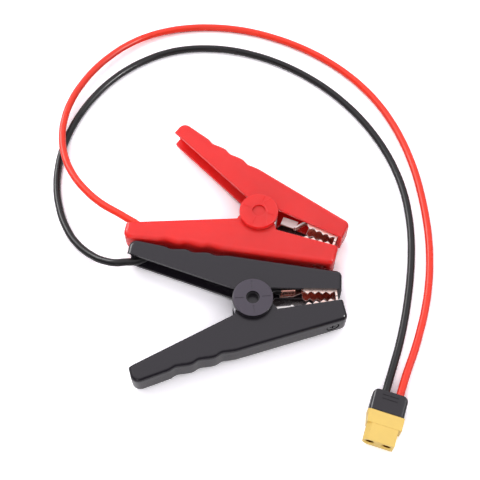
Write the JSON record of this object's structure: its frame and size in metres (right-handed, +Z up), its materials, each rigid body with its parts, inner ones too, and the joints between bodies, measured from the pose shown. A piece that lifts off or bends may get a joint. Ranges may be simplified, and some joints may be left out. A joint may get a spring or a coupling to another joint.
{
  "type": "jumper clamp lead",
  "caption": "Jumper clamp lead: a red and a black moulded battery clamp with toothed copper jaws, on red and black silicone wires that end in a yellow two-pole bullet connector.",
  "frame": {"origin": "on the floor under the middle of the rectangle round the two clamps", "axes": "+Z up from the floor the lead lies on; +X towards the connector's side, along which the clamps' jaws point; +Y away from the connector, towards the wires' loop; right-handed"},
  "size_m": [0.1822, 0.2323, 0.018],
  "materials": {
    "black_plastic": "moulded black plastic with a faint sheen",
    "red_plastic": "moulded bright red plastic with a faint sheen",
    "copper": "copper-plated stamped sheet, pinkish, bright on its edges",
    "steel": "plain spring steel",
    "black_wire": "soft silicone insulation, satin",
    "red_wire": "soft silicone insulation, satin",
    "yellow_plastic": "hard yellow nylon, slightly glossy",
    "gold": "gilt socket"
  },
  "bodies": {
    "lead": {"black_wired_lever": "black_plastic", "black_pivot_pin": "black_plastic", "black_spring": "steel", "black_wired_jaw": "copper", "black_wired_jaw_screw": "black_plastic", "black_crimp": "copper", "black_wire_tail": "black_wire", "black_wire": "black_wire", "red_wired_lever": "red_plastic", "red_pivot_pin": "red_plastic", "red_spring": "steel", "red_wired_jaw": "copper", "red_wired_jaw_screw": "red_plastic", "red_crimp": "copper", "red_wire_tail": "red_wire", "red_wire": "red_wire", "connector_housing": "yellow_plastic", "connector_cover": "black_plastic", "positive_contact": "gold", "negative_contact": "gold"},
    "black_free_grip": {"black_free_lever": "black_plastic", "black_free_jaw": "copper", "black_free_jaw_screw": "black_plastic"},
    "red_free_grip": {"red_free_lever": "red_plastic", "red_free_jaw": "copper", "red_free_jaw_screw": "red_plastic"}
  },
  "joints": [
    {"name": "black_clamp_hinge", "type": "hinge", "parent": "lead", "child": "black_free_grip", "pos_m": [0.00712, -0.02851, 0.009], "axis": [0, 0, -1], "range_deg": [0, 38], "stiffness_Nm_per_rad": 0.5, "springref_deg": -40.11, "deforming": ["black_spring"]},
    {"name": "red_clamp_hinge", "type": "hinge", "parent": "lead", "child": "red_free_grip", "pos_m": [0.01022, 0.01519, 0.009], "axis": [0, 0, 1], "range_deg": [0, 38], "stiffness_Nm_per_rad": 0.5, "springref_deg": -40.11, "deforming": ["red_spring"]}
  ]
}
